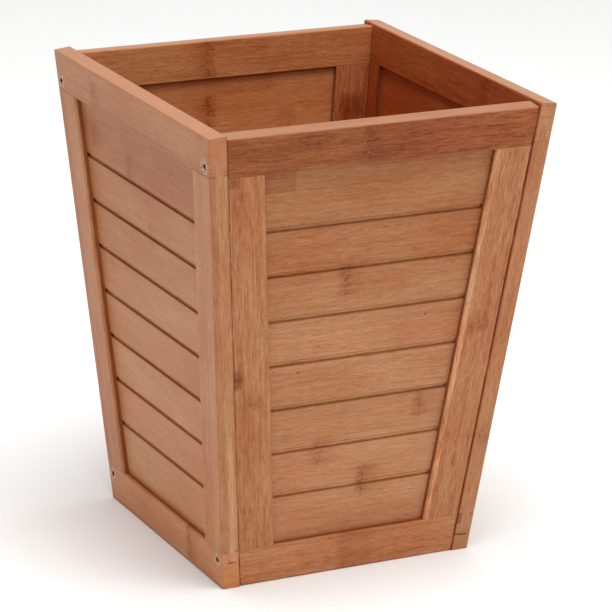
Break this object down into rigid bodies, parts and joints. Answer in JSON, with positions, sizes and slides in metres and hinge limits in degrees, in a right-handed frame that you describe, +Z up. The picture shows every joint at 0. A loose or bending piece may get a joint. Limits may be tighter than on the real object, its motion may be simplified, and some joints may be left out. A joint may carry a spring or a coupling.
{
  "type": "wastebasket",
  "caption": "Open-topped square bamboo wastebasket that widens towards the top, with frame-and-panel walls and horizontally grooved panels.",
  "frame": {"origin": "middle of the basket's footprint, on the floor it stands on", "axes": "+Z up, +X towards the right nailed side wall, +Y from the front wall to the back wall"},
  "size_m": [0.2398, 0.2352, 0.3061],
  "materials": {
    "frame_bamboo": "satin",
    "panel_bamboo": "satin",
    "board_bamboo": "satin",
    "nail_steel": "dull"
  },
  "bodies": {
    "root": {"back_wall_bottom_rail": "frame_bamboo", "back_wall_left_stile": "frame_bamboo", "back_wall_panel": "panel_bamboo", "back_wall_right_stile": "frame_bamboo", "back_wall_top_rail": "frame_bamboo", "bottom_board": "board_bamboo", "front_wall_bottom_rail": "frame_bamboo", "front_wall_left_stile": "frame_bamboo", "front_wall_panel": "panel_bamboo", "front_wall_right_stile": "frame_bamboo", "front_wall_top_rail": "frame_bamboo", "left_nails": "nail_steel", "left_wall_back_stile": "frame_bamboo", "left_wall_bottom_rail": "frame_bamboo", "left_wall_front_stile": "frame_bamboo", "left_wall_panel": "panel_bamboo", "left_wall_top_rail": "frame_bamboo", "right_nails": "nail_steel", "right_wall_back_stile": "frame_bamboo", "right_wall_bottom_rail": "frame_bamboo", "right_wall_front_stile": "frame_bamboo", "right_wall_panel": "panel_bamboo", "right_wall_top_rail": "frame_bamboo"}
  },
  "joints": []
}
